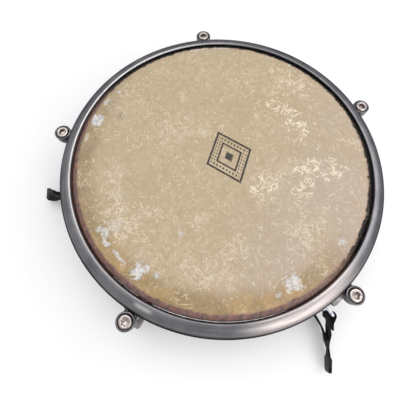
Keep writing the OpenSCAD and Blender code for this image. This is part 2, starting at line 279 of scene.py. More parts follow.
def fuse(name, solids, voxel, rounds, material):
    """One cast-looking piece from overlapping solids, its corners and joins softened."""
    points, faces = [], []
    for p, f in solids:
        faces += [tuple(i + len(points) for i in face) for face in f]
        points += [tuple(q) for q in p]
    obj = make(name, points, faces, material)
    remesh = obj.modifiers.new("join", "REMESH")
    remesh.mode, remesh.voxel_size, remesh.use_smooth_shade = "VOXEL", voxel * MM, True
    smooth = obj.modifiers.new("soften", "SMOOTH")
    smooth.factor, smooth.iterations = 0.5, rounds
    mesh = bpy.data.meshes.new_from_object(obj.evaluated_get(bpy.context.evaluated_depsgraph_get()))
    mesh.name = name
    obj.modifiers.clear()
    obj.data = mesh
    if not mesh.materials:
        mesh.materials.append(material)
    return obj


def join(name, pieces):
    """One object from several, kept under the given name."""
    bpy.context.view_layer.update()
    merged = bmesh.new()
    for piece in pieces:
        mesh = piece.data.copy()
        mesh.transform(piece.matrix_world)
        merged.from_mesh(mesh)
    mesh = bpy.data.meshes.new(name)
    merged.to_mesh(mesh)
    merged.free()
    mesh.materials.append(pieces[0].data.materials[0])
    for piece in pieces:
        bpy.data.objects.remove(piece)
    return add(name, mesh)


def spin(degrees):
    return Matrix.Rotation(math.radians(degrees), 4, "Z")


def lug_angle(i):
    return LUG_FIRST + (i - 1) * LUG_STEP


def settle(obj, body, slot, *nodes):
    """Puts a piece on its body, in place of its CAD nodes. The slot argument is not used."""
    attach(obj, body)
    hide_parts(*nodes)


def at_lugs(first, body, slot, node, out=0.0, turn=0.0):
    """Settles a piece at lug 1 and a copy of it at each other lug, out mm from the drum's axis.

    The piece's name ends in 1 and each copy's in its own lug's number, which also goes where
    body and node hold {}. Each is turned on itself by turn degrees times its number.
    """
    for i in LUGS:
        piece = first if i == 1 else add(first.name.removesuffix("1") + str(i), first.data)
        outwards = Matrix.Translation((out * MM, 0, 0))
        piece.matrix_world = spin(lug_angle(i)) @ outwards @ spin(turn * i)
        settle(piece, body.format(i), slot, node.format(i))


# ---- Material helpers ----

def rgb(red, green, blue):
    """A linear colour from 8-bit sRGB values."""
    def linear(v):
        v /= 255
        return v / 12.92 if v <= 0.04045 else ((v + 0.055) / 1.055) ** 2.4

    return (linear(red), linear(green), linear(blue), 1.0)


class Graph:
    """A material whose nodes are written as calls; each call gives the socket it ends in."""

    def __init__(self, name, **surface):
        self.material = bpy.data.materials.new(name)
        self.material.use_nodes = True
        self.nodes, self.links = self.material.node_tree.nodes, self.material.node_tree.links
        self.shader = self.nodes["Principled BSDF"]
        for socket, value in surface.items():
            self.set(socket.replace("_", " ").title().replace("Ior", "IOR"), value)

    def set(self, socket, value):
        self.feed(self.shader.inputs[socket], value)

    def finished(self, colour, roughness, normal):
        self.set("Base Color", colour)
        self.set("Roughness", roughness)
        self.set("Normal", normal)
        return self.material

    def feed(self, socket, value):
        if isinstance(value, bpy.types.NodeSocket):
            self.links.new(value, socket)
        elif value is not None:
            socket.default_value = value

    def node(self, kind, values=(), output=0, **settings):
        made = self.nodes.new("ShaderNode" + kind)
        for key, value in settings.items():
            setattr(made, key, value)
        for key, value in dict(values).items():
            self.feed(made.inputs[key], value)
        return made.outputs[output]

    def math(self, operation, a, b=None, c=None):
        return self.node("Math", {0: a, 1: b, 2: c}, operation=operation)

    def plus(self, a, b):
        return self.math("ADD", a, b)

    def minus(self, a, b):
        return self.math("SUBTRACT", a, b)

    def times(self, a, b):
        return self.math("MULTIPLY", a, b)

    def scaled(self, value, by, plus):
        return self.math("MULTIPLY_ADD", value, by, plus)

    def larger(self, a, b):
        return self.math("MAXIMUM", a, b)

    def absolute(self, value):
        return self.math("ABSOLUTE", value)

    def vector(self, operation, a, b=None, output=0):
        return self.node("VectorMath", {0: a, 1: b}, output, operation=operation)

    def place(self):
        """The point's place on its own object, in mm."""
        here = self.node("TexCoord", output=3)
        return self.node("VectorMath", {0: here, "Scale": 1 / MM}, operation="SCALE")

    def shares(self, vector, angle, long=1.0, wide=1.0):
        """How far a vector goes along an angle in XY and across it, each over its own size."""
        along = (math.cos(angle) / long, math.sin(angle) / long, 0)
        across = (-math.sin(angle) / wide, math.cos(angle) / wide, 0)
        return [self.vector("DOT_PRODUCT", vector, way, 1) for way in (along, across)]

    def parts(self, vector):
        made = self.nodes.new("ShaderNodeSeparateXYZ")
        self.feed(made.inputs[0], vector)
        return made.outputs

    def combine(self, x=0.0, y=0.0, z=0.0):
        return self.node("CombineXYZ", {0: x, 1: y, 2: z})

    def noise(self, vector, size, detail=2.0, roughness=0.5, distortion=0.0, seed=0.0):
        """Noise with features about size mm across."""
        values = {"Vector": vector, "W": seed, "Scale": 1 / size, "Detail": detail,
                  "Roughness": roughness, "Distortion": distortion}
        return self.node("TexNoise", values, noise_dimensions="4D")

    def span(self, value, low, high, to_low=0.0, to_high=1.0):
        """The value's way from low to high, eased, as a number from to_low to to_high."""
        values = {"Value": value, "From Min": low, "From Max": high,
                  "To Min": to_low, "To Max": to_high}
        return self.node("MapRange", values, interpolation_type="SMOOTHSTEP")

    def mix(self, factor, a, b):
        """A colour between a and b."""
        return self.node("Mix", {0: factor, 6: a, 7: b}, 2, data_type="RGBA")

    def blend(self, factor, a, b):
        """A number between a and b."""
        return self.node("Mix", {0: factor, 2: a, 3: b})

    def bump(self, height, distance, below=None):
        """A normal from a height of 0 to 1 that stands for so many mm."""
        return self.node("Bump", {"Height": height, "Distance": distance * MM, "Normal": below})


def towards(g, angle, degrees, low, high):
    """1 on the side of the drum at so many degrees, falling off with the cosine from there."""
    return g.span(g.math("COSINE", g.minus(angle, math.radians(degrees))), low, high)


def polar(graph):
    """Radius, angle in radians and height of a point about the drum's axis, in mm."""
    place = graph.place()
    x, y, z = graph.parts(place)
    flat = graph.combine(x, y, 0.0)
    return place, graph.vector("LENGTH", flat, output=1), graph.math("ARCTAN2", y, x), z


# ---- Materials ----

# Worn, whitish places on the head: angle in degrees, share of the rim's bore radius,
# size in mm along the radius and across it, and how white they are
WORN = (
    (161, 0.91, 6, 7, 1.0), (151, 0.926, 2.2, 4, 0.8), (170, 0.93, 1.8, 5, 0.7),
    (144, 0.905, 1.8, 3, 1.0), (101, 0.949, 1.6, 7, 1.0), (90, 0.95, 1.2, 9, 0.6),
    (56, 0.947, 1.4, 2.6, 1.0), (214, 0.878, 5, 7, 0.8), (218, 0.905, 2.5, 5, 0.9),
    (235, 0.873, 8, 6, 1.0), (226, 0.895, 1.5, 8, 0.75), (242, 0.843, 3, 3, 0.7),
    (242, 0.572, 3, 2.5, 0.7), (296, 0.874, 7, 8, 0.9), (322, 0.9, 3, 4, 0.8),
    (289, 0.9, 2, 3, 0.6), (214, 0.81, 7, 6, 0.35),
)
# Where the hide's fibres show most, in the same terms
CLUSTERS = (
    (31, 0.58, 11, 28, 1.0), (354, 0.66, 24, 12, 1.0), (338, 0.56, 9, 20, 0.9),
    (327, 0.32, 12, 14, 0.9), (50, 0.82, 14, 22, 0.6), (215, 0.76, 12, 20, 0.7),
    (195, 0.72, 10, 16, 0.5), (276, 0.6, 10, 20, 0.4), (143, 0.36, 16, 14, 0.4),
    (262, 0.74, 12, 30, 0.4), (315, 0.7, 12, 20, 0.5),
)
MARK_AT, MARK_TURN, MARK_LONG, MARK_WIDE = (6.6, 2.0), -70.0, 58.0, 46.0
SPECK_AT = (155, 0.775)


def on_head(degrees, share):
    """A point of the playing face, at an angle and a share of the bore's radius."""
    a, r = math.radians(degrees), share * LIP_R
    return r * math.cos(a), r * math.sin(a), HEAD_Z


def spots(g, place, places, ragged):
    """The strongest of several oval spots on the head, each ragged at its edge."""
    strongest = None
    for degrees, reach, deep, wide, strength in places:
        away = g.vector("SUBTRACT", place, on_head(degrees, reach))
        away = g.combine(*g.shares(away, math.radians(degrees), deep, wide))
        away = g.vector("LENGTH", away, output=1)
        spot = g.span(g.plus(away, ragged), 1.05, 0.8, 0.0, strength)
        strongest = spot if strongest is None else g.larger(strongest, spot)
    return strongest


def strokes(g, place, long, wide, seed, low, high):
    """Short curled strokes lying every way."""
    turns = 5
    curl = g.node("TexNoise", {"Vector": place, "Scale": 0.45 / long, "Detail": 1.0}, output=1)
    bent = g.vector("ADD", place, g.vector("MULTIPLY", curl, (long * 1.3, long * 1.3, 0.0)))
    most = None
    for k in range(turns):
        lying = g.combine(*g.shares(bent, math.pi * k / turns + seed, long, wide))
        hair = g.span(g.noise(lying, 1.0, 0.0, seed=seed + k), low, high)
        most = hair if most is None else g.larger(most, hair)
    return most


def hide_mark(g, place):
    """A plain printed mark: nested lozenges with a row of small ones between."""
    local = g.vector("SUBTRACT", place, (*MARK_AT, HEAD_Z))
    u, v = g.shares(local, math.radians(MARK_TURN))
    lozenge = g.plus(g.math("DIVIDE", g.absolute(u), MARK_LONG / 2),
                     g.math("DIVIDE", g.absolute(v), MARK_WIDE / 2))
    ink = None
    for level, width in ((1.0, 0.075), (0.56, 0.062), (0.0, 0.26)):
        line = g.span(g.absolute(g.minus(lozenge, level)), width, width * 0.6)
        ink = line if ink is None else g.larger(ink, line)
    dots = g.times(g.math("SINE", g.times(u, 1.1)), g.math("SINE", g.times(v, 1.4)))
    between = g.times(g.span(lozenge, 0.66, 0.7), g.span(lozenge, 0.9, 0.86))
    ink = g.larger(ink, g.times(between, g.span(dots, 0.25, 0.4)))
    return g.times(ink, g.span(g.noise(place, 2.0, 4, 0.7, seed=40), 0.7, 0.46, 0.6, 1.0))


def hide_material():
    g = Graph("hide", specular_ior_level=0.35)
    place, radius, angle, height = polar(g)
    x, y, _ = g.parts(place)
    share = g.math("DIVIDE", radius, LIP_R)

    # Ground colour: khaki, with a painted sheen that makes the side to the lower right pinker and paler
    ground = g.mix(g.span(g.noise(place, 55, 4, 0.6), 0.35, 0.65),
                   rgb(176, 158, 128), rgb(185, 167, 139))
    ground = g.mix(g.span(g.noise(place, 5, 5, 0.7, seed=2), 0.42, 0.6), ground, rgb(173, 154, 123))
    side = g.plus(g.times(x, 0.86), g.times(y, -0.5))
    # Painted sheen: lighter towards the lower right, where the key lamp's reflection falls on the face
    painted_sheen = g.times(g.span(side, 10, 125), g.span(g.noise(place, 40, 3, seed=5), 0.2, 0.6))
    ground = g.mix(g.times(painted_sheen, 0.85), ground, rgb(178, 160, 146))

    # Painted shade where the hide bends down on the near side, olive and amber; then purple-brown down
    # the shoulder, part stain and part painted shade
    wave = g.scaled(g.noise(place, 14, 5, 0.7, seed=9), 0.14, -0.07)
    edge = g.plus(share, wave)
    near = towards(g, angle, 232, -0.25, 0.45)
    # Painted shade: olive to amber on the near side where the hide rolls over the bearing edge
    painted_bend_shade = g.times(g.span(edge, 0.79, 0.91), near)
    warm = towards(g, angle, 262, 0.3, 0.9)
    amber_shade = g.mix(g.span(g.noise(place, 20, 3, seed=12), 0.38, 0.62),
                  g.mix(warm, rgb(140, 122, 94), rgb(146, 124, 88)),
                  g.mix(warm, rgb(160, 138, 104), rgb(172, 142, 98)))
    ground = g.mix(g.times(painted_bend_shade, 0.92), ground, amber_shade)
    # Shoulder colour: purple-brown on the near side, part stain of the hide and part painted shade of
    # the steep collar
    rolled = g.span(g.scaled(wave, 0.3, share), 0.949, 0.963)
    stain_and_shade = g.mix(g.span(g.noise(place, 4, 4, seed=15), 0.38, 0.62),
                   rgb(116, 93, 90), rgb(148, 108, 96))
    ground = g.mix(rolled, ground, g.mix(near, rgb(170, 140, 118), stain_and_shade))
    # Painted shadow: near-black where the hide drops into the gap at the rim, on the far side, with a
    # ragged edge
    torn = g.scaled(g.noise(place, 5, 5, 0.75, seed=17), 0.08, -0.04)
    groove_shadow = g.span(g.plus(share, torn), 0.956, 0.964)
    ground = g.mix(g.times(groove_shadow, g.span(near, 0.9, 0.1, 0.3, 1.0)), ground, rgb(24, 20, 18))

    # Fibres: short pale curls everywhere, and bolder ones gathered in clusters
    loose = g.scaled(g.noise(place, 9, 5, 0.7, seed=19), 5.0, -2.5)
    gathered = g.larger(spots(g, place, CLUSTERS, loose),
                        g.span(g.noise(place, 24, 4, 0.6, seed=20), 0.56, 0.7, 0.0, 0.6))
    patchy = g.span(g.noise(place, 13, 4, 0.6, seed=22), 0.36, 0.6, 0.35, 1.0)
    fine = g.times(strokes(g, place, 7.0, 1.25, 1.0, 0.675, 0.77), patchy)
    bold = g.times(strokes(g, place, 10.0, 1.6, 2.0, 0.61, 0.7), gathered)
    fibre = g.larger(g.times(fine, 0.66), bold)
    fibre = g.times(fibre, g.span(share, 0.965, 0.93, 0.25, 1.0))
    ground = g.mix(g.times(fibre, 0.9), ground, rgb(230, 214, 190))

    # Worn places, and one small brown speck
    ragged = g.scaled(g.noise(place, 4.5, 5, 0.75, seed=33), 6.0, -3.0)
    wear_and_reflection = spots(g, place, WORN, ragged)
    flake = g.mix(g.span(g.noise(place, 3, 4, 0.7, seed=36), 0.42, 0.58),
                  rgb(182, 182, 184), rgb(222, 218, 212))
    ground = g.mix(g.times(wear_and_reflection, 0.9), ground, flake)
    away = g.vector("LENGTH", g.vector("SUBTRACT", place, on_head(*SPECK_AT)), output=1)
    away = g.plus(away, g.scaled(g.noise(place, 2.4, 3, seed=38), 3.0, -1.5))
    halo = g.span(g.absolute(g.minus(away, 3.3)), 0.8, 0.2)
    speck = g.larger(g.span(away, 1.2, 0.5), g.times(0.5, halo))
    ground = g.mix(g.times(speck, 0.8), ground, rgb(88, 66, 56))

    # The mark is on the top face only
    printed = g.times(hide_mark(g, place), g.span(height, HEAD_Z - 0.8, HEAD_Z - 0.4))
    ground = g.mix(printed, ground, rgb(38, 32, 30))

    roughness = g.blend(wear_and_reflection, g.blend(g.noise(place, 14, 4, seed=43), 0.4, 0.6), 0.75)
    relief = g.plus(g.times(fibre, 0.6), g.times(wear_and_reflection, -0.6))
    relief = g.plus(relief, g.times(g.noise(place, 1.6, 5, 0.65, seed=46), 0.5))
    rolling = g.bump(g.noise(place, 34, 2, seed=49), 0.35)
    return g.finished(ground, roughness, g.bump(relief, 0.08, below=rolling))


def rim_material():
    """The rim's metal: brushed round the axis, with painted reflections on its near side and roll, a
    painted highlight on its lip and painted shade at its edge.
    """
    g = Graph("brushed_gunmetal", metallic=1.0, specular_tint=rgb(120, 120, 124))
    place, radius, angle, height = polar(g)
    lines = g.combine(g.times(angle, 8.0), radius, height)
    fine = g.noise(lines, 0.35, 4, 0.7, seed=1)
    broad = g.noise(lines, 1.6, 3, 0.6, seed=2)
    cloud = g.noise(place, 26, 4, 0.6, seed=3)
    tone = g.plus(g.times(broad, 0.4), g.times(cloud, 0.6))
    colour = g.mix(g.span(tone, 0.35, 0.65), rgb(112, 111, 114), rgb(142, 140, 142))
    scuffs = g.times(g.span(g.noise(place, 1.8, 5, 0.75, seed=4), 0.68, 0.76),
                     g.span(g.noise(place, 30, 2, seed=5), 0.5, 0.62))
    colour = g.mix(g.times(scuffs, 0.5), colour, rgb(196, 194, 190))

    # Painted reflections and highlights: a bright near side, one bright flare on the roll by an ear, and
    # a bright bead at the far left
    # Painted reflection: the near side of the rim lighter, where the lamps reflect in it
    wear_and_reflection = g.times(towards(g, angle, 297, 0.91, 0.985), g.span(broad, 0.2, 0.6, 0.5, 1.0))
    colour = g.mix(g.times(wear_and_reflection, 0.75), colour, rgb(206, 197, 194))
    on_roll = g.times(g.span(radius, LIP_R + 2.6, LIP_R + 5.0),
                      g.span(radius, LIP_R + 8.4, LIP_R + 5.0))
    # Painted highlight: a bright flare on the roll beside the ear near 243 degrees
    painted_flare = g.times(towards(g, angle, 243, 0.9976, 1.0), on_roll)
    colour = g.mix(g.times(painted_flare, 0.8), colour, rgb(226, 222, 217))
    # Painted highlight: a bright line along the bead, on the far left side
    bead = g.times(g.span(radius, LIP_R + 1.6, LIP_R + 1.2),
                   g.span(height, RIM_TOP - 1.0, RIM_TOP - 0.6))
    painted_lip_highlight = g.times(bead, towards(g, angle, 150, 0.2, 0.8))
    colour = g.mix(g.times(painted_lip_highlight, g.span(cloud, 0.25, 0.6, 0.55, 1.0)), colour, rgb(190, 188, 188))

    # Painted shade: dark where the roll turns down into the rim's side
    edge = g.times(g.span(radius, RIM_OUT - 4.0, RIM_OUT - 1.4),
                   g.span(height, RIM_TOP - 14, RIM_TOP - 8, 0.2, 0.75))
    colour = g.mix(edge, colour, rgb(34, 34, 36))
    roughness = g.plus(g.times(fine, 0.1), g.scaled(cloud, 0.12, 0.24))
    return g.finished(colour, roughness, g.bump(g.plus(fine, g.times(broad, 0.7)), 0.012))


def cast_material(name, base, light, rough, grain=0.04, metallic=1.0):
    """Plated or painted metal with a fine orange-peel surface."""
    g = Graph(name, metallic=metallic)
    place = g.place()
    cloud = g.noise(place, 11, 4, 0.6, seed=1)
    peel = g.noise(place, 0.9, 3, 0.6, seed=2)
    colour = g.mix(g.span(cloud, 0.35, 0.65), base, light)
    nicks = g.times(g.span(g.noise(place, 1.2, 5, 0.75, seed=3), 0.66, 0.74),
                    g.span(g.noise(place, 9, 2, seed=4), 0.5, 0.6))
    colour = g.mix(g.times(nicks, 0.5), colour, rgb(170, 168, 166))
    roughness = g.plus(g.times(peel, 0.1), g.scaled(cloud, 0.16, rough))
    return g.finished(colour, roughness, g.bump(peel, grain))


def wood_material():
    g = Graph("oiled_wood")
    _, radius, angle, height = polar(g)
    long = g.combine(g.times(angle, 14.0), radius, height)
    grain = g.noise(long, 2.2, 6, 0.65, 0.4, seed=1)
    short = g.combine(g.times(angle, 30.0), radius, height)
    pores = g.span(g.noise(short, 0.5, 2, seed=2), 0.62, 0.72)
    colour = g.mix(g.span(grain, 0.3, 0.7), rgb(150, 108, 66), rgb(196, 156, 106))
    ply = g.absolute(g.minus(g.math("FRACT", g.math("DIVIDE", radius, 2.75)), 0.5))
    colour = g.mix(g.times(g.span(ply, 0.47, 0.5), 0.7), colour, rgb(86, 58, 36))
    colour = g.mix(g.times(pores, 0.45), colour, rgb(92, 62, 38))
    relief = g.bump(g.minus(grain, g.times(pores, 0.5)), 0.05)
    return g.finished(colour, g.blend(grain, 0.42, 0.62), relief)


def rubber_material():
    g = Graph("black_rubber")
    place = g.place()
    dust = g.noise(place, 7, 5, 0.7, seed=1)
    colour = g.mix(g.span(dust, 0.45, 0.75), rgb(26, 26, 27), rgb(52, 51, 49))
    grain = g.noise(place, 0.6, 3, 0.6, seed=2)
    return g.finished(colour, g.blend(dust, 0.7, 0.92), g.bump(grain, 0.03))


WEAVE_MAP = "weave"


def webbing_material():
    """Ribbed nylon webbing: its map runs across it and along it, in mm."""
    g = Graph("webbing", specular_ior_level=0.18, sheen_weight=0.06)
    woven = g.node("UVMap", uv_map=WEAVE_MAP)
    across, along, _ = g.parts(woven)
    rib, pick = 1.08, 0.75
    ribs = g.absolute(g.math("SINE", g.times(across, math.pi / rib)))
    in_pair = g.math("FRACT", g.math("DIVIDE", across, 2 * rib))
    lean = g.times(g.absolute(g.minus(in_pair, 0.5)), 1.6)
    picks = g.absolute(g.math("SINE", g.times(g.plus(along, lean), math.pi / pick)))
    thread = g.times(ribs, g.scaled(picks, 0.6, 0.4))
    fuzz = g.noise(g.place(), 0.35, 3, 0.7, seed=1)
    wear = g.noise(g.place(), 9, 4, 0.6, seed=2)
    dark = g.mix(g.span(wear, 0.35, 0.7), rgb(9, 9, 11), rgb(19, 19, 23))
    colour = g.mix(g.times(thread, 0.75), rgb(4, 4, 5), dark)
    colour = g.mix(g.span(fuzz, 0.66, 0.8, 0.0, 0.4), colour, rgb(50, 52, 60))
    relief = g.bump(g.plus(thread, g.times(fuzz, 0.3)), 0.22)
    return g.finished(colour, g.blend(thread, 0.8, 0.5), relief)


def plastic_material():
    g = Graph("moulded_plastic", specular_ior_level=0.3)
    place = g.place()
    spark = g.noise(place, 0.4, 3, 0.6, seed=1)
    cloud = g.noise(place, 6, 3, seed=2)
    colour = g.mix(g.span(cloud, 0.4, 0.7), rgb(11, 11, 13), rgb(21, 21, 24))
    return g.finished(colour, g.blend(spark, 0.35, 0.6), g.bump(spark, 0.03))


HIDE = hide_material()
RIM_METAL = rim_material()
EAR_METAL = cast_material("plated_gunmetal", rgb(98, 97, 100), rgb(128, 126, 127), 0.24)
BRACKET_METAL = cast_material("plated_bracket", rgb(118, 116, 115), rgb(156, 153, 150), 0.26)
SCREW_METAL = cast_material("bright_plate", rgb(166, 155, 150), rgb(206, 196, 190), 0.16, 0.02)
FIXING_METAL = cast_material("satin_steel", rgb(150, 149, 150), rgb(182, 180, 178), 0.3)
WIRE_METAL = cast_material("polished_wire", rgb(212, 217, 226), rgb(232, 236, 242), 0.08, 0.015)
PAINT = cast_material("powder_coat", rgb(26, 26, 28), rgb(36, 36, 38), 0.42, 0.08, 0.0)
WOOD, RUBBER = wood_material(), rubber_material()
WEBBING, PLASTIC = webbing_material(), plastic_material()


# ---- Strap ----

# Rows of x, y, z, then the heading and the rise of the webbing's width in degrees
STRAP_ROUTE = (
    (-187.7, -20, 22.6, 97, 64), (-183.8, -20.8, 23.7, 97, 84), (-179.9, -21, 23.9, 97, 89),
    (-177.5, -19.6, 24, 97, 90), (-174.5, -18.2, 24, 97, 90), (-171.5, -18.3, 24, 97, 90),
    (-169.5, -20.8, 24, 97, 90), (-170.8, -23.7, 24, 97, 90), (-173.7, -24.5, 24, 97, 90),
    (-177, -23.9, 24, 97, 90), (-180.2, -23.4, 24, 97, 90), (-184.2, -23, 24, 97, 84),
    (-188.4, -22, 23.6, 97, 64), (-192.4, -20.6, 22.8, 97, 38), (-196.7, -19, 20.4, 97, 14),
    (-201, -17.3, 16.2, 97, 0), (-204.4, -15.6, 10.8, 97, 0), (-204.9, -15.3, 5.9, 97, 8),
    (-201.6, -16.4, 4.8, 97, 36), (-196.2, -17.8, 6.9, 97, 72), (-189, -18.4, 7.2, 97, 90),
    (-179.4, -14.4, 7.2, 97, 90), (-168.6, -3.2, 7.2, 97, 90), (-157, 15, 7.2, 97, 90),
    (-150, 41, 7.2, 97, 90), (-136, 75, 7.2, 97, 90), (-113, 106, 7.2, 97, 90),
    (-82, 131, 7.2, 97, 90), (-46, 148, 7.2, 97, 90), (-6, 155, 7.2, 97, 90),
    (34, 151, 7.2, 97, 90), (72, 137, 7.2, 97, 90), (104, 115, 7.2, 97, 90),
    (130, 84, 7.2, 97, 90), (148, 47, 7.2, 97, 90), (155, 8, 7.2, 97, 90), (151, -34, 7.2, 97, 90),
    (137, -73, 7.2, 97, 90), (118, -101, 7.2, 150, 86), (103, -120, 7.2, 202, 78),
    (97.2, -133, 7.1, 202, 70), (97.6, -144.3, 7, 202, 66), (101.6, -153.2, 7.2, 201, 69),
    (104.9, -159.9, 7.4, 187, 70), (106.3, -166.5, 8.4, 158, 68), (106.4, -174.2, 9.5, 140, 71),
)
TAIL_ROUTE = (
    (109.8, -159.4, 20.2, 254, 54), (109, -154.4, 23.2, 250, 70), (110.7, -151.2, 24, 250, 88),
    (111.6, -148.6, 24, 250, 90), (110.2, -146.2, 24, 250, 90), (108.5, -145.5, 24, 250, 90),
    (106.7, -145.8, 24, 250, 90), (104.6, -147.9, 24, 250, 90), (104.6, -150.8, 24, 250, 90),
    (106.1, -154.1, 22.8, 250, 74), (107.5, -158.5, 19.4, 254, 52),
    (108.6, -163.6, 15.8, 263, 54), (109, -168.7, 12.4, 251, 60),
    (108.7, -174.6, 10.1, 227, 66), (108.6, -179.4, 8.9, 213, 69),
    (108.7, -184.1, 8.1, 204, 73), (108.2, -189.7, 7.6, 205, 80), (107.4, -196, 7.4, 198, 84),
    (106.6, -201.4, 7.4, 183, 85),
)
# Place, heading and rise of its width, and course along the webbing
SLIDER = ((107.55, -174.4, 9.75), 227, 66, (-0.03, -1, -0.2))
TIP = ((107.4, -196.2, 7.4), 195, 84, (-0.13, -1, 0))


STEPS_A_ROW = 22


def route_frames(route):
    """Middle points, width directions and normals of webbing along a route."""
    rows = np.array(route, float)
    heading, rise = np.radians(rows[:, 3]), np.radians(rows[:, 4])
    widths = np.stack([np.cos(rise) * np.cos(heading), np.cos(rise) * np.sin(heading),
                       np.sin(rise)], 1)
    last = len(rows) - 1

    def point(t):
        k = min(int(t), last - 1)
        u = t - k
        a, b, c, d = (rows[max(0, min(last, j)), :3] for j in (k - 1, k, k + 1, k + 2))
        return 0.5 * (2 * b + (c - a) * u + (2 * a - 5 * b + 4 * c - d) * u * u
                      + (3 * b - a - 3 * c + d) * u ** 3)

    middle, across, out = [], [], []
    for t in np.linspace(0, last, last * STEPS_A_ROW + 1):
        k = min(int(t), last - 1)
        along = point(min(last, t + 0.05)) - point(max(0, t - 0.05))
        along /= np.linalg.norm(along)
        tilt = (1 - t + k) * widths[k] + (t - k) * widths[k + 1]
        w = tilt - along * tilt.dot(along)
        w /= np.linalg.norm(w)
        middle.append(point(t))
        across.append(w)
        out.append(np.cross(along, w))
    return np.array(middle), np.array(across), np.array(out)


def webbing(name, route):
    """Flat webbing swept along a route, its selvedges rounded, with a weave map in mm."""
    middle, across, out = route_frames(route)
    x, y = STRAP_W / 2, STRAP_T / 2
    corners = eased([(x, y), (-x, y), (-x, -y), (x, -y)], y * 0.9)
    section = []
    for p, q in zip(corners, corners[1:] + corners[:1]):
        steps = 12 if (q - p).length > STRAP_T else 1
        section += [p + (q - p) * s / steps for s in range(steps)]
    rings = [[m + w * p.x + n * p.y for p in section] for m, w, n in zip(middle, across, out)]
    obj = loft(name, rings, WEBBING)
    travel = np.concatenate([[0], np.cumsum(np.linalg.norm(np.diff(middle, axis=0), axis=1))])
    corner = np.zeros(len(obj.data.loops), int)
    obj.data.loops.foreach_get("vertex_index", corner)
    places = np.stack([np.array([p.x for p in section])[corner % len(section)],
                       travel[corner // len(section)]], 1)
    obj.data.uv_layers.new(name=WEAVE_MAP).data.foreach_set("uv", places.ravel())
    return obj, middle * MM, travel[-1] * MM


def on_webbing(at, heading, rise, course):
    """The place of a piece that sits square on the webbing: X across it, Y along it."""
    heading, rise = math.radians(heading), math.radians(rise)
    across = Vector((math.cos(rise) * math.cos(heading), math.cos(rise) * math.sin(heading),
                     math.sin(rise)))
    along = Vector(course)
    along = (along - across * along.dot(across)).normalized()
    turn = Matrix((across, along, across.cross(along))).transposed()
    return Matrix.Translation(Vector(at) * MM) @ turn.to_4x4()


def make_slider():
    """Three-bar slider: two side rails and three round-edged bars in one casting."""
    long, wide, thick, bar = 16.8, 11.0, 2.4, 1.2
    solids = [solid(ball_ended((-long / 2 + bar, y, 0), (long / 2 - bar, y, 0), bar * 0.98))
              for y in (-wide / 2 + bar, 0, wide / 2 - bar)]
    solids += [block((1.6, wide - 1.4, thick), (s * (long / 2 - 0.8), 0, 0)) for s in (-1, 1)]
    slider = fuse("slider", solids, 0.22, 3, PLASTIC)
    slider.matrix_world = on_webbing(*SLIDER)
    settle(slider, "frame", "tip_plastic", "strap_slider")
    return slider


def make_tip():
    """Moulded end cap with grip ridges across both faces."""
    wide, long, thick = 14.2, 13.8, 3.0
    outline = eased([(-wide / 2, -long / 2), (wide / 2, -long / 2), (wide / 2 - 1.2, long / 2),
                     (1.2 - wide / 2, long / 2)], 2.2)
    solids = [prism(outline, -thick / 2, thick / 2)]
    for y in np.linspace(-3.6, 3.6, 5):
        solids += [solid(ball_ended((-4.6, y, s * 1.42), (4.6, y, s * 1.42), 0.55)) for s in (-1, 1)]
    tip = fuse("strap_end_cap", solids, 0.25, 3, PLASTIC)
    tip.matrix_world = on_webbing(*TIP)
    settle(tip, "frame", "tip_plastic", "strap_tip")
    return tip


def make_straps():
    slider, tip = make_slider(), make_tip()
    strap, path, length = webbing("strap_webbing", STRAP_ROUTE)
    settle(strap, "frame", "webbing", "strap")
    tail, path, length = webbing("tail_webbing", TAIL_ROUTE)
    settle(tail, "frame", "webbing", "strap_tail")


# ---- Head ----

def make_skin():
    """The hide: flat playing face, rolled shoulder and a steep, slightly puckered collar."""
    rng = np.random.default_rng(7)
    waves = [(int(n), a, p) for n, a, p in zip(rng.integers(9, 70, 14),
             rng.uniform(0.02, 0.07, 14), rng.uniform(0, TAU, 14))]

    def pucker(r, angle, z):
        fall = np.clip((70.5 - z) / 6, 0, 1)
        ripple = sum(a * np.sin(n * angle + p) for n, a, p in waves)
        return r - fall * np.abs(ripple) * 1.6, z

    middle = SKIN_R - SHOULDER_W
    outer = [(r, HEAD_Z) for r in np.linspace(0.02, middle, 40)[:-1]]
    outer += quarter((middle, HEAD_Z - SHOULDER_H), SHOULDER_W, SHOULDER_H, 36)
    outer += [(SKIN_R + 0.3 * t, HEAD_Z - SHOULDER_H - 11 * t) for t in np.linspace(0.08, 1, 12)]
    inner = [(SKIN_R - 1.2, SKIN_LOW + 0.15)]
    inner += quarter((middle, HEAD_Z - SHOULDER_H), SHOULDER_W - SKIN_T, SHOULDER_H - SKIN_T, 24)[::-1]
    inner += [(r, HEAD_Z - SKIN_T) for r in np.linspace(middle, 0.02, 12)[1:]]
    skin = loft("hide_head", turned(outer + inner, 512, pucker), HIDE)
    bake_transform(skin)
    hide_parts("head_skin")


def make_hoop():
    """The hoop under its lap of hide, creased where the hide is gathered round it."""
    rng = np.random.default_rng(11)
    folds = [(int(n), a, p) for n, a, p in zip(rng.integers(24, 130, 12),
             rng.uniform(0.03, 0.09, 12), rng.uniform(0, TAU, 12))]
    section = [(HOOP_AT[0] + HOOP_R * math.cos(a), HOOP_AT[1] + HOOP_R * math.sin(a))
               for a in np.linspace(0, TAU, 28, endpoint=False)]

    def crease(r, angle, z):
        dent = np.abs(sum(a * np.sin(n * angle + p) for n, a, p in folds))
        away = np.hypot(r - HOOP_AT[0], z - HOOP_AT[1])
        pull = 1 - dent / away
        return HOOP_AT[0] + (r - HOOP_AT[0]) * pull, HOOP_AT[1] + (z - HOOP_AT[1]) * pull

    hoop = lathe("lapped_hoop", section, HIDE, 512, shape=crease)
    settle(hoop, "rim", "hoop_steel", "flesh_hoop")


# ---- Rim and lugs ----

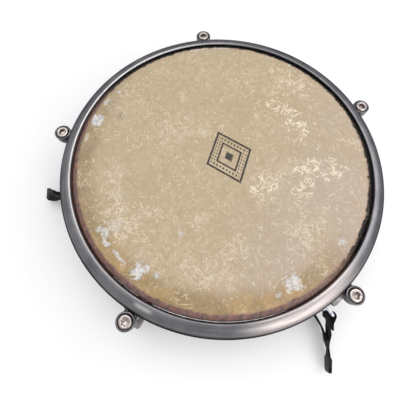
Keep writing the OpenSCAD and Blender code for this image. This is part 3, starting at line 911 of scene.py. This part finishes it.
def make_rim():
    """Rolled rim with a beaded lip; its face is drawn slightly where each ear is welded."""
    base = LIP_R + BEAD_R
    profile = [(base + BEAD_R * math.cos(math.radians(a)),
                RIM_TOP - BEAD_R + BEAD_R * math.sin(math.radians(a))) for a in range(270, 95, -9)]
    profile += quarter((base, RIM_TOP - ROLL_H), ROLL_W, ROLL_H, 40)
    profile += [(RIM_OUT, 56), (RIM_OUT, 51.2), (164.6, 50.3), (164, RIM_LOW),
                (163, RIM_LOW), (162.3, 50.4), (162, 51.2), (162, 56)]
    profile += quarter((base, RIM_TOP - ROLL_H), ROLL_W - RIM_T, ROLL_H - RIM_T, 24)[:0:-1]
    lugs = [math.radians(lug_angle(i)) for i in LUGS]

    def drawn(r, angle, z):
        pull = np.zeros_like(angle)
        for lug in lugs:
            off = np.degrees(np.angle(np.exp(1j * (angle - lug))))
            pull += np.exp(-(off / 2.6) ** 2) - 0.55 * np.exp(-(off / 6.5) ** 2)
        share = np.clip((r - 156) / 8, 0, 1)
        return r, z - 0.22 * pull * share * np.clip((z - 55) / 6, 0, 1)

    rim = lathe("rolled_rim", profile, RIM_METAL, 720, shape=drawn)
    settle(rim, "rim", "gunmetal", "rim")


def make_ears():
    """Cupped boss, neck and weld beads, cast together; the same for all five lugs."""
    ring = eased([(BORE_R, EAR_LOW), (EAR_R - 1.25, EAR_LOW), (EAR_R, EAR_FLOOR), (EAR_R, EAR_TOP),
                  (CUP_R, EAR_TOP), (CUP_R, EAR_FLOOR), (BORE_R, EAR_FLOOR)],
                 (0.2, 0.9, 0.6, 0.8, 0.5, 0.2, 0.2), 5)
    boss = turned(ring, 96)
    boss[:, :, 0] += LUG_R
    half, top, inner = 7.0, 58.1, 7.3
    swing = math.asin(half / inner)
    arc = [(LUG_R - inner * math.cos(a), inner * math.sin(a)) for a in np.linspace(swing, -swing, 18)]
    neck = prism([(163.0, -half), *reversed(arc), (163.0, half)], EAR_LOW + 0.1, top)
    beads = [solid(ball_ended((165.2, s * 7.1, EAR_LOW + 1.2), (165.2, s * 7.1, top - 0.6), 1.3))
             for s in (-1, 1)]
    beads.append(solid(ball_ended((165.3, -6.4, top), (165.3, 6.4, top), 1.2)))
    ear = fuse("ear_1", [solid(boss, wrap=True), neck, *beads], 0.3, 5, EAR_METAL)
    at_lugs(ear, "rim", "gunmetal", "rim_ear_{}")


def hexagon(across_flats, angle):
    """Radius of a hexagon at an angle."""
    return across_flats / 2 / np.cos((angle + math.pi / 6) % (math.pi / 3) - math.pi / 6)


def make_screws():
    """Socket-head screws with a knurled head and a real right-hand thread."""
    def thread(angle, z):
        turn = ((z - SCREW_LOW) / THREAD_PITCH - angle / TAU) % 1
        depth = np.clip(np.abs(turn - 0.5) * 2 * 1.35 - 0.22, 0, 1)
        fade = np.clip((z - SCREW_LOW) / 1.4, 0, 1) * np.clip((THREAD_TOP - z) / 1.6, 0, 1)
        taper = min(1.0, 0.78 + 0.22 * (z - SCREW_LOW) / 1.2)
        return (SHANK_R - 0.68 * depth * fade) * taper

    def knurl(angle, z):
        grip = np.clip(min(z - HEAD_LOW - 1.1, SCREW_TOP - 1.3 - z) / 0.3, 0, 1)
        return SCREW_HEAD_R - 0.2 * grip * (0.5 + 0.5 * np.cos(40 * angle)) ** 1.5

    def socket(grow):
        return lambda angle, z: hexagon(SOCKET_FLATS + grow, angle)

    shank_z = [*np.arange(SCREW_LOW, THREAD_TOP + 0.2, 0.16), 50, HEAD_LOW - 0.4]
    shank = turned([(thread, z) for z in shank_z] + [(4.2, HEAD_LOW), (4.0, HEAD_LOW + 0.3)], 48)
    sides = [(knurl, z) for z in np.linspace(HEAD_LOW + 0.5, SCREW_TOP - 0.9, 14)]
    head = turned([(4.3, HEAD_LOW), (5.5, HEAD_LOW), (5.85, HEAD_LOW + 0.15), *sides,
                   (5.75, SCREW_TOP - 0.55), (5.4, SCREW_TOP - 0.12), (5.15, SCREW_TOP),
                   (3.85, SCREW_TOP), (3.72, SCREW_TOP - 0.08), (socket(0.12), SCREW_TOP - 0.35),
                   (socket(0), SCREW_TOP - 0.5), (socket(0), SCREW_TOP - 4),
                   (0.05, SCREW_TOP - 5)], 200)
    screw = join("screw_1", [loft("shank", shank, SCREW_METAL), loft("head", head, SCREW_METAL)])
    at_lugs(screw, "screw_{}", "screw_plate", "tension_screw_{}", LUG_R, turn=17)


def make_washers():
    out_r = CUP_R - 0.2
    ring = eased([(BORE_R, EAR_FLOOR), (out_r, EAR_FLOOR), (out_r, WASHER_TOP), (BORE_R, WASHER_TOP)],
                 0.22, 4)
    washer = lathe("washer_ring_1", ring, FIXING_METAL, 96)
    at_lugs(washer, "rim", "fixings", "washer_{}", LUG_R)


def make_brackets():
    """Bracket: plate, leg and rib in one casting, the plate bored for its screw."""
    half, bore, overlap = BRACKET_W / 2, BORE_R + 0.1, 0.4
    edge = eased([(LEG_IN, -half), (BRACKET_OUT, -half), (BRACKET_OUT, half), (LEG_IN, half)],
                 (0, 3, 3, 0), 8)
    near, far = [p for p in edge if p.y < 0], [p for p in edge if p.y >= 0]

    def arc(start, end):
        return [Vector((LUG_R + bore * math.cos(a), bore * math.sin(a)))
                for a in np.linspace(start, end, 24)]

    inmost, outmost = Vector((LEG_IN, 0)), Vector((BRACKET_OUT, 0))
    solids = []
    for side, outline in ((1, [*near, outmost, *arc(0, -math.pi), inmost]),
                          (-1, [inmost, *arc(math.pi, 0), outmost, *far])):
        shifted = [(p.x, p.y + side * overlap if abs(p.y) < 1e-6 else p.y) for p in outline]
        solids.append(prism(shifted, PLATE_LOW, PLATE_TOP))
    leg = (LEG_OUT - LEG_IN, BRACKET_W, LEG_TOP - PLATE_LOW)
    solids.append(block(leg, ((LEG_IN + LEG_OUT) / 2, 0, (LEG_TOP + PLATE_LOW) / 2)))
    rib, faces = prism([(150, PLATE_TOP - 1), (165.8, PLATE_TOP - 1), (165.8, PLATE_TOP),
                        (LEG_OUT, 39.6), (150, 39.6)], -2, 2)
    solids.append(([(x, z, y) for x, y, z in rib], faces))
    bracket = fuse("bracket_1", solids, 0.4, 4, BRACKET_METAL)
    at_lugs(bracket, "frame", "gunmetal", "lug_bracket_{}")


def make_nuts():
    """Hexagon nuts with chamfered corners."""
    def cut_to(cone):
        return lambda angle, z: np.minimum(hexagon(NUT_FLATS, angle), cone)

    outside = [(NUT_LOW, 6.3), (NUT_LOW + 0.3, 6.75), (NUT_LOW + 0.6, 7.1), (NUT_LOW + 0.95, 9),
               (NUT_TOP - 0.7, 9), (NUT_TOP - 0.3, 7.0), (NUT_TOP, 6.6)]
    bore = [(4.1, NUT_TOP), (4.1, NUT_LOW), (4.6, NUT_LOW)]
    nut = lathe("nut_1", [(cut_to(cone), z) for z, cone in outside] + bore, FIXING_METAL, 96)
    at_lugs(nut, "frame", "fixings", "lug_nut_{}", LUG_R)


# ---- Frame ----

def dome(radius, height, reach, at, inward=False):
    """A rivet's domed head, standing out from a reach along +X at (y, z)."""
    rows = [(radius * 0.98, 0.0), (radius, 0.12)]
    rows += [(radius * math.cos(a), 0.25 + (height - 0.25) * math.sin(a))
             for a in np.linspace(0.1, 1.5, 7)]
    head = turned(rows, 40)
    side = -1 if inward else 1
    return np.stack([reach + side * head[:, :, 2], at[0] + side * head[:, :, 0],
                     at[1] + head[:, :, 1]], 2)


def make_rivets():
    """Domed heads outside and flatter upset tails inside the band."""
    def set_of(name, places, reach):
        parts = []
        for at in places:
            parts.append(loft(name, dome(3.2, 1.6, reach, at), FIXING_METAL))
            parts.append(loft(name, dome(3.2, 1.5, BAND_IN - 0.4, at, inward=True), FIXING_METAL))
        return join(name, parts)

    at_lugs(set_of("rivets_1", LUG_RIVETS, LEG_OUT), "frame", "fixings", "lug_rivets_{}")
    pairs = []
    for angle, _ in BAILS.values():
        pair = set_of("pair", BAIL_RIVETS, BAND_R + BAIL_PLATE_T)
        pair.matrix_world = spin(angle)
        pairs.append(pair)
    bail_rivets = join("bail_rivet_heads", pairs)
    settle(bail_rivets, "frame", "fixings", "bail_rivets")


def make_bails():
    """A curved plate with an upright wire loop whose ends are welded to it."""
    half, corner = BAIL_PLATE_HALF, 2.0
    for side, (angle, bar) in BAILS.items():
        outline = eased([(-half, BAIL_LOW), (half, BAIL_LOW), (half, BAIL_TOP), (-half, BAIL_TOP)],
                        corner)
        points, faces = prism(outline, 0, BAIL_PLATE_T)
        plate = fuse(f"bail_plate_{side}", [([(z, x, y) for x, y, z in points], faces)], 0.3, 3,
                     EAR_METAL)
        for v in plate.data.vertices:
            turn = v.co.y / (BAND_R * MM)
            reach = BAND_R * MM + v.co.x
            v.co = (reach * math.cos(turn), reach * math.sin(turn), v.co.z)
        foot = BAND_R + 1.6
        path = [(foot, BAIL_Z - BAIL_HALF), (bar, BAIL_Z - BAIL_HALF),
                (bar, BAIL_Z + BAIL_HALF), (foot, BAIL_Z + BAIL_HALF)]
        path = [(p.x, 0, p.y) for p in eased(path, BAIL_CORNER * 1.25, 12, closed=False)]
        wire = loft(f"bail_wire_{side}", sweep(path, WIRE_R), WIRE_METAL)
        for piece in (plate, wire):
            piece.matrix_world = spin(angle)
        settle(plate, "frame", "gunmetal", f"strap_bail_{side}")
        settle(wire, "frame", "bright_wire", f"strap_bail_{side}")


def make_frame_rings():
    """Painted steel band, laminated wooden bearing ring and rubber edge."""
    band = eased([(BAND_IN, BAND_LOW), (BAND_R, BAND_LOW), (BAND_R, BAND_TOP), (BAND_IN, BAND_TOP)], 0.7)
    settle(lathe("steel_band", band, PAINT, 360), "frame", "frame_paint", "frame_band")

    roll_w, roll_h = SHOULDER_W - SKIN_T - 0.3, SHOULDER_H - SKIN_T - 0.3
    ring = [(RING_IN, RING_TOP - 2.5), (RING_IN + 0.5, RING_TOP - 1.0), (RING_IN + 1.4, RING_TOP - 0.2)]
    ring += quarter((RING_R - roll_w, RING_TOP - roll_h), roll_w, roll_h, 20)
    ring += [(RING_R, BAND_TOP), (BAND_IN - 0.2, BAND_TOP), (BAND_IN - 0.2, SPIGOT_LOW + 1),
             (BAND_IN - 0.5, SPIGOT_LOW + 0.3), (BAND_IN - 1.2, SPIGOT_LOW),
             (RING_IN + 1.5, SPIGOT_LOW), (RING_IN + 0.4, SPIGOT_LOW + 0.5), (RING_IN, SPIGOT_LOW + 1.6)]
    settle(lathe("wooden_ring", ring, WOOD, 360), "frame", "wood", "bearing_ring")

    out_r, in_r = BAND_R + 1.5, BAND_IN - 1.5
    trim = eased([(in_r, 0), (out_r, 0), (out_r, TRIM_TOP), (BAND_R, TRIM_TOP), (BAND_R, BAND_LOW),
                  (BAND_IN, BAND_LOW), (BAND_IN, TRIM_TOP), (in_r, TRIM_TOP)],
                 (1.0, 1.0, 0.7, 0.1, 0.1, 0.1, 0.1, 0.7), 6)
    settle(lathe("rubber_edge", trim, RUBBER, 360), "frame", "rubber", "edge_trim")


def make_ring_screws():
    """Domed heads on the band, half way between the lugs."""
    parts = []
    for i in LUGS:
        head = loft("head", dome(3.1, 1.4, BAND_R, (0, 52.0)), FIXING_METAL)
        head.matrix_world = spin(lug_angle(i) + LUG_STEP / 2)
        parts.append(head)
    settle(join("ring_screw_heads", parts), "frame", "fixings", "ring_screws")


# ---- Floor and light ----

def make_stage():
    g = Graph("floor", roughness=0.9, emission_color=(1, 1, 1, 1), emission_strength=0.2)
    g.set("Base Color", g.mix(g.noise(g.place(), 300, 2), rgb(221, 221, 221), rgb(224, 224, 224)))
    half = 4000
    corners = [(-half, -half, 0), (half, -half, 0), (half, half, 0), (-half, half, 0)]
    floor = make("floor", corners, [(0, 1, 2, 3)], g.material)
    floor.location.z = -0.2 * MM


def area_light(name, at, aim, size, power, colour=(1, 1, 1)):
    data = bpy.data.lights.new(name, "AREA")
    data.shape, data.size, data.size_y = "RECTANGLE", size[0], size[1]
    data.energy, data.color = power, colour
    light = add(name, data)
    light.location = at
    light.rotation_mode = "QUATERNION"
    light.rotation_quaternion = (Vector(aim) - Vector(at)).to_track_quat("-Z", "Y")


def make_light():
    world = bpy.data.worlds.new("studio")
    bpy.context.scene.world = world
    world.use_nodes = True
    sky = world.node_tree.nodes["Background"]
    sky.inputs["Color"].default_value = (0.96, 0.97, 1.0, 1)
    sky.inputs["Strength"].default_value = 0.64
    area_light("key", (0.9, 0.2, 1.25), (0, 0, 0), (0.9, 0.9), 5.5)
    area_light("overhead", (-0.3, 0.5, 1.6), (0, 0, 0), (1.4, 1.0), 10)
    area_light("low_window", (0.8, -1.0, 0.8), (0, 0, 0), (0.9, 1.1), 6, (1.0, 0.96, 0.94))
    bpy.context.scene.view_settings.view_transform = "Standard"


make_camera()
make_straps()
make_skin()
make_hoop()
make_rim()
make_ears()
make_screws()
make_washers()
make_brackets()
make_nuts()
make_rivets()
make_bails()
make_frame_rings()
make_ring_screws()
make_stage()
make_light()

bpy.context.view_layer.update()
